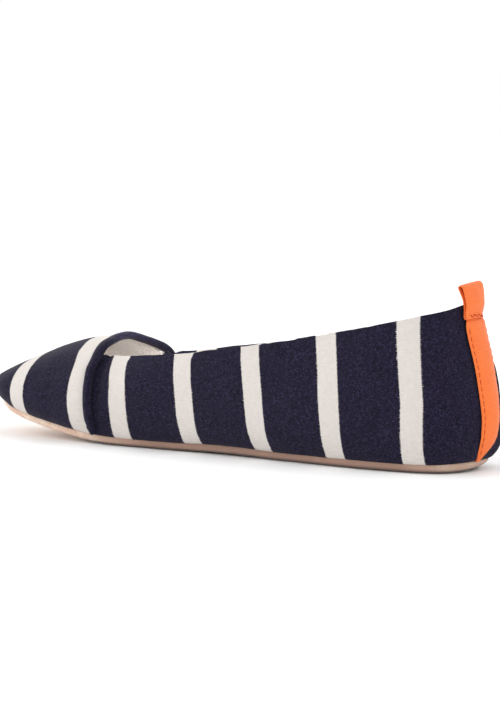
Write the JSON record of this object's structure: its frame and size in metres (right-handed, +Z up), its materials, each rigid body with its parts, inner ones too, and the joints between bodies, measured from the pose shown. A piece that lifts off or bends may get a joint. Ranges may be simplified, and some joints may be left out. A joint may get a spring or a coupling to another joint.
{
  "type": "slipper",
  "caption": "Soft closed-back slipper with a thin suede sole, padded footbed, striped jersey upper, rolled band round the throat, heel tape and pull loop.",
  "frame": {"origin": "on the floor, under the middle of the slipper's bounding box", "axes": "+X towards the heel, -X towards the toe, -Y towards the inner (medial) side, +Z up"},
  "size_m": [0.2598, 0.0796, 0.0773],
  "materials": {
    "sole_suede": "napped suede",
    "fleece": "soft fleece",
    "striped_jersey": "matte knit",
    "jersey": "matte knit",
    "tape": "ribbed weave"
  },
  "bodies": {
    "root": {"outsole": "sole_suede", "insole": "fleece", "upper": "striped_jersey", "throat_binding": "jersey", "heel_tape": "tape", "pull_loop": "tape"}
  },
  "joints": []
}
